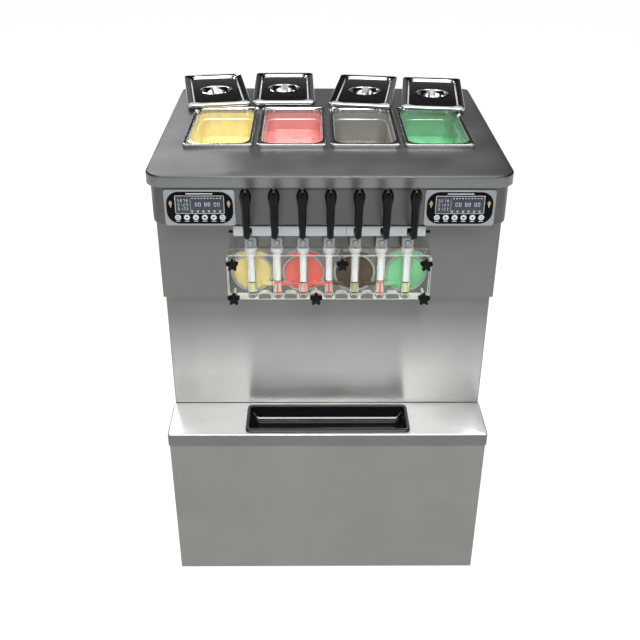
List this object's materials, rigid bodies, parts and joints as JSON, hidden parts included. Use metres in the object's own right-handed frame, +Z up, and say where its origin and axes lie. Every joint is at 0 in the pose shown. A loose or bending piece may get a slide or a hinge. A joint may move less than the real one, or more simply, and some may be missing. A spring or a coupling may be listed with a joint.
{
  "type": "soft serve machine",
  "caption": "Floor-standing soft serve machine: stainless cabinet, open mix hoppers with loose lids, clear dispensing door, draw valves with black pull handles and a drip tray.",
  "frame": {"origin": "middle of the machine's bounding box, on the floor plane under its feet", "axes": "+X to the operator's right when facing the draw handles, +Y to the back, +Z up"},
  "size_m": [0.8652, 0.9405, 1.22],
  "materials": {
    "casing_steel": "brushed stainless",
    "deck_steel": "brushed stainless, darker",
    "pan_steel": "polished stainless",
    "lid_steel": "polished stainless",
    "cylinder_steel": "satin stainless",
    "door_acrylic": "clear acrylic",
    "valve_plastic": "satin",
    "rail_plastic": "satin",
    "handle_plastic": "gloss",
    "knob_plastic": "semi gloss",
    "tray_plastic": "gloss",
    "panel_plate": "satin",
    "foot_rubber": "matt",
    "drive_paint": "satin",
    "condenser_fins": "mill finish",
    "fan_plastic": "matt"
  },
  "bodies": {
    "cabinet": {"cylinder_bank": "cylinder_steel", "dispensing_door": "door_acrylic", "deck": "deck_steel", "handle_rail": "rail_plastic", "front_panel": "casing_steel", "condenser": "condenser_fins", "hopper_1": "pan_steel", "hopper_2": "pan_steel", "hopper_3": "pan_steel", "hopper_4": "pan_steel", "rear_panel": "casing_steel", "compressor": "drive_paint", "drive_unit_left": "drive_paint", "drive_unit_right": "drive_paint", "head_casing": "casing_steel", "base_ledge": "casing_steel", "side_panel_left": "casing_steel", "side_panel_right": "casing_steel", "cable_gland": "tray_plastic", "pivot_rod": "handle_plastic", "foot_front_left": "foot_rubber", "foot_front_right": "foot_rubber", "foot_rear_left": "foot_rubber", "foot_rear_right": "foot_rubber", "control_panel_left": "panel_plate", "control_panel_right": "panel_plate", "control_box": "condenser_fins", "base_front_panel": "casing_steel", "chassis_floor": "deck_steel", "splash_panel": "casing_steel"},
    "handle_1": {"handle_1": "handle_plastic"},
    "draw_valve_1": {"draw_valve_1": "valve_plastic"},
    "handle_2": {"handle_2": "handle_plastic"},
    "draw_valve_2": {"draw_valve_2": "valve_plastic"},
    "handle_3": {"handle_3": "handle_plastic"},
    "draw_valve_3": {"draw_valve_3": "valve_plastic"},
    "handle_4": {"handle_4": "handle_plastic"},
    "draw_valve_4": {"draw_valve_4": "valve_plastic"},
    "handle_5": {"handle_5": "handle_plastic"},
    "draw_valve_5": {"draw_valve_5": "valve_plastic"},
    "handle_6": {"handle_6": "handle_plastic"},
    "draw_valve_6": {"draw_valve_6": "valve_plastic"},
    "handle_7": {"handle_7": "handle_plastic"},
    "draw_valve_7": {"draw_valve_7": "valve_plastic"},
    "beater_1": {"beater_1": "cylinder_steel"},
    "beater_2": {"beater_2": "cylinder_steel"},
    "beater_3": {"beater_3": "cylinder_steel"},
    "beater_4": {"beater_4": "cylinder_steel"},
    "door_knob_1": {"door_knob_1": "knob_plastic"},
    "door_knob_2": {"door_knob_2": "knob_plastic"},
    "door_knob_3": {"door_knob_3": "knob_plastic"},
    "door_knob_4": {"door_knob_4": "knob_plastic"},
    "door_knob_5": {"door_knob_5": "knob_plastic"},
    "door_knob_6": {"door_knob_6": "knob_plastic"},
    "condenser_fan": {"condenser_fan": "fan_plastic"},
    "lid_1": {"lid_1": "lid_steel"},
    "lid_2": {"lid_2": "lid_steel"},
    "lid_3": {"lid_3": "lid_steel"},
    "lid_4": {"lid_4": "lid_steel"},
    "drip_tray": {"drip_tray": "tray_plastic"}
  },
  "joints": [
    {"name": "handle_1_pull", "type": "hinge", "parent": "cabinet", "child": "handle_1", "pos_m": [-0.18933, -0.35866, 1.048], "axis": [1, 0, 0], "range_deg": [0, 40]},
    {"name": "draw_valve_1_lift", "type": "slide", "parent": "cabinet", "child": "draw_valve_1", "axis": [0, 0, 1], "range_m": [0, 0.012]},
    {"name": "handle_2_pull", "type": "hinge", "parent": "cabinet", "child": "handle_2", "pos_m": [-0.12533, -0.35866, 1.048], "axis": [1, 0, 0], "range_deg": [0, 40]},
    {"name": "draw_valve_2_lift", "type": "slide", "parent": "cabinet", "child": "draw_valve_2", "axis": [0, 0, 1], "range_m": [0, 0.012]},
    {"name": "handle_3_pull", "type": "hinge", "parent": "cabinet", "child": "handle_3", "pos_m": [-0.06133, -0.35866, 1.048], "axis": [1, 0, 0], "range_deg": [0, 40]},
    {"name": "draw_valve_3_lift", "type": "slide", "parent": "cabinet", "child": "draw_valve_3", "axis": [0, 0, 1], "range_m": [0, 0.012]},
    {"name": "handle_4_pull", "type": "hinge", "parent": "cabinet", "child": "handle_4", "pos_m": [0.00267, -0.35866, 1.048], "axis": [1, 0, 0], "range_deg": [0, 40]},
    {"name": "draw_valve_4_lift", "type": "slide", "parent": "cabinet", "child": "draw_valve_4", "axis": [0, 0, 1], "range_m": [0, 0.012]},
    {"name": "handle_5_pull", "type": "hinge", "parent": "cabinet", "child": "handle_5", "pos_m": [0.06667, -0.35866, 1.048], "axis": [1, 0, 0], "range_deg": [0, 40]},
    {"name": "draw_valve_5_lift", "type": "slide", "parent": "cabinet", "child": "draw_valve_5", "axis": [0, 0, 1], "range_m": [0, 0.012]},
    {"name": "handle_6_pull", "type": "hinge", "parent": "cabinet", "child": "handle_6", "pos_m": [0.13067, -0.35866, 1.048], "axis": [1, 0, 0], "range_deg": [0, 40]},
    {"name": "draw_valve_6_lift", "type": "slide", "parent": "cabinet", "child": "draw_valve_6", "axis": [0, 0, 1], "range_m": [0, 0.012]},
    {"name": "handle_7_pull", "type": "hinge", "parent": "cabinet", "child": "handle_7", "pos_m": [0.19467, -0.35866, 1.048], "axis": [1, 0, 0], "range_deg": [0, 40]},
    {"name": "draw_valve_7_lift", "type": "slide", "parent": "cabinet", "child": "draw_valve_7", "axis": [0, 0, 1], "range_m": [0, 0.012]},
    {"name": "beater_1_spin", "type": "hinge", "parent": "cabinet", "child": "beater_1", "pos_m": [-0.18933, -0.16666, 0.922], "axis": [0, 1, 0], "continuous": true},
    {"name": "beater_2_spin", "type": "hinge", "parent": "cabinet", "child": "beater_2", "pos_m": [-0.06133, -0.16666, 0.922], "axis": [0, 1, 0], "continuous": true},
    {"name": "beater_3_spin", "type": "hinge", "parent": "cabinet", "child": "beater_3", "pos_m": [0.06667, -0.16666, 0.922], "axis": [0, 1, 0], "continuous": true},
    {"name": "beater_4_spin", "type": "hinge", "parent": "cabinet", "child": "beater_4", "pos_m": [0.19467, -0.16666, 0.922], "axis": [0, 1, 0], "continuous": true},
    {"name": "door_knob_1_turn", "type": "hinge", "parent": "cabinet", "child": "door_knob_1", "pos_m": [-0.23333, -0.36666, 0.97], "axis": [0, 1, 0], "continuous": true},
    {"name": "door_knob_2_turn", "type": "hinge", "parent": "cabinet", "child": "door_knob_2", "pos_m": [-0.23333, -0.36666, 0.876], "axis": [0, 1, 0], "continuous": true},
    {"name": "door_knob_3_turn", "type": "hinge", "parent": "cabinet", "child": "door_knob_3", "pos_m": [0.03467, -0.36666, 0.97], "axis": [0, 1, 0], "continuous": true},
    {"name": "door_knob_4_turn", "type": "hinge", "parent": "cabinet", "child": "door_knob_4", "pos_m": [-0.02933, -0.36666, 0.876], "axis": [0, 1, 0], "continuous": true},
    {"name": "door_knob_5_turn", "type": "hinge", "parent": "cabinet", "child": "door_knob_5", "pos_m": [0.23867, -0.36666, 0.97], "axis": [0, 1, 0], "continuous": true},
    {"name": "door_knob_6_turn", "type": "hinge", "parent": "cabinet", "child": "door_knob_6", "pos_m": [0.23867, -0.36666, 0.876], "axis": [0, 1, 0], "continuous": true},
    {"name": "condenser_fan_spin", "type": "hinge", "parent": "cabinet", "child": "condenser_fan", "pos_m": [0.09267, 0.21334, 0.23], "axis": [0, 1, 0], "continuous": true},
    {"name": "lid_1_lift", "type": "slide", "parent": "cabinet", "child": "lid_1", "axis": [0, 0, 1], "range_m": [0, 0.25]},
    {"name": "lid_2_lift", "type": "slide", "parent": "cabinet", "child": "lid_2", "axis": [0, 0, 1], "range_m": [0, 0.25]},
    {"name": "lid_3_lift", "type": "slide", "parent": "cabinet", "child": "lid_3", "axis": [0, 0, 1], "range_m": [0, 0.25]},
    {"name": "lid_4_lift", "type": "slide", "parent": "cabinet", "child": "lid_4", "axis": [0, 0, 1], "range_m": [0, 0.25]},
    {"name": "drip_tray_lift", "type": "slide", "parent": "cabinet", "child": "drip_tray", "axis": [0, 0, 1], "range_m": [0, 0.15]}
  ],
  "couplings": [
    {"joint": "draw_valve_1_lift", "follows": "handle_1_pull", "m_per_rad": 0.016573},
    {"joint": "draw_valve_2_lift", "follows": "handle_2_pull", "m_per_rad": 0.016573},
    {"joint": "draw_valve_3_lift", "follows": "handle_3_pull", "m_per_rad": 0.016573},
    {"joint": "draw_valve_4_lift", "follows": "handle_4_pull", "m_per_rad": 0.016573},
    {"joint": "draw_valve_5_lift", "follows": "handle_5_pull", "m_per_rad": 0.016573},
    {"joint": "draw_valve_6_lift", "follows": "handle_6_pull", "m_per_rad": 0.016573},
    {"joint": "draw_valve_7_lift", "follows": "handle_7_pull", "m_per_rad": 0.016573},
    {"joint": "beater_2_spin", "follows": "beater_1_spin", "ratio": 1},
    {"joint": "beater_4_spin", "follows": "beater_3_spin", "ratio": 1}
  ]
}
